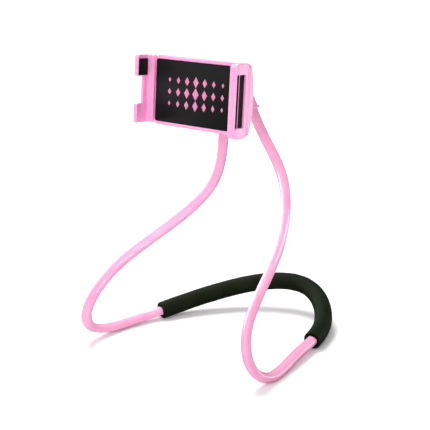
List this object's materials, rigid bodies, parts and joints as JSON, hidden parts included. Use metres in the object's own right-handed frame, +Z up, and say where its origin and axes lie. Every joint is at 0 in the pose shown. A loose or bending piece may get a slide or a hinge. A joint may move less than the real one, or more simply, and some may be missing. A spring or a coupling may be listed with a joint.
{
  "type": "adjustable phone stand",
  "caption": "Bendable neck loop with a foam collar that stands on a table or hangs round the neck and holds a phone in a sprung clamp on a ball joint.",
  "frame": {"origin": "middle of the footprint's bounding box, on the table the stand stands on", "axes": "+Z up, away from the table; +X to the right and -Y to the front, as seen by somebody who looks at the phone"},
  "size_m": [0.138, 0.151, 0.1955],
  "materials": {
    "tube_plastic": "smooth extruded plastic, satin",
    "pink_plastic": "glossy moulded plastic",
    "foam": "matt closed-cell foam with a smooth skin",
    "black_rubber": "matt fine-textured rubber",
    "black_plastic": "smooth moulded plastic",
    "steel": "zinc-plated steel",
    "steel_wire": "drawn wire",
    "spring_steel": "spring wire"
  },
  "bodies": {
    "neck": {"neck_tube": "tube_plastic", "core_wire": "steel_wire", "foam_sleeve": "foam", "end_ferrule_right": "steel", "end_ferrule_left": "steel", "hub_front": "pink_plastic", "hub_rear": "pink_plastic", "hub_screws": "steel"},
    "lock_nut": {"lock_nut": "pink_plastic"},
    "ball_liner": {"ball_liner": "black_plastic"},
    "ball_stud": {"ball_stud": "steel", "swivel_screw": "steel", "swivel_washer": "steel"},
    "clamp": {"front_plate": "pink_plastic", "face_panel": "black_rubber", "back_cover": "pink_plastic", "cover_screws": "steel", "fixed_jaw": "pink_plastic", "fixed_jaw_pad": "black_rubber", "jaw_screws": "steel", "spring_pins": "steel", "jaw_springs": "spring_steel"},
    "sliding_jaw": {"sliding_jaw": "pink_plastic", "sliding_jaw_pad": "black_rubber"}
  },
  "joints": [
    {"name": "nut_turn", "type": "hinge", "parent": "neck", "child": "lock_nut", "pos_m": [0.00207, -0.0105, 0.1704], "axis": [0, 0.9945, 0.1045], "range_deg": [0, 180]},
    {"name": "head_pan", "type": "hinge", "parent": "neck", "child": "ball_liner", "pos_m": [0.00207, -0.0105, 0.1704], "axis": [-0.0122, 0.0867, 0.9962], "range_deg": [-15, 15]},
    {"name": "head_tilt", "type": "hinge", "parent": "ball_liner", "child": "ball_stud", "pos_m": [0.00207, -0.0105, 0.1704], "axis": [0.9991, 0.041, 0.0087], "range_deg": [-15, 20]},
    {"name": "head_spin", "type": "hinge", "parent": "ball_stud", "child": "clamp", "pos_m": [0.00207, -0.0105, 0.1704], "axis": [0.0401, -0.9954, 0.0871], "continuous": true},
    {"name": "jaw_slide", "type": "slide", "parent": "clamp", "child": "sliding_jaw", "axis": [-0.9991, -0.041, -0.0087], "range_m": [0, 0.028], "stiffness_N_per_m": 100, "springref_m": -0.02, "deforming": ["jaw_springs"]}
  ]
}
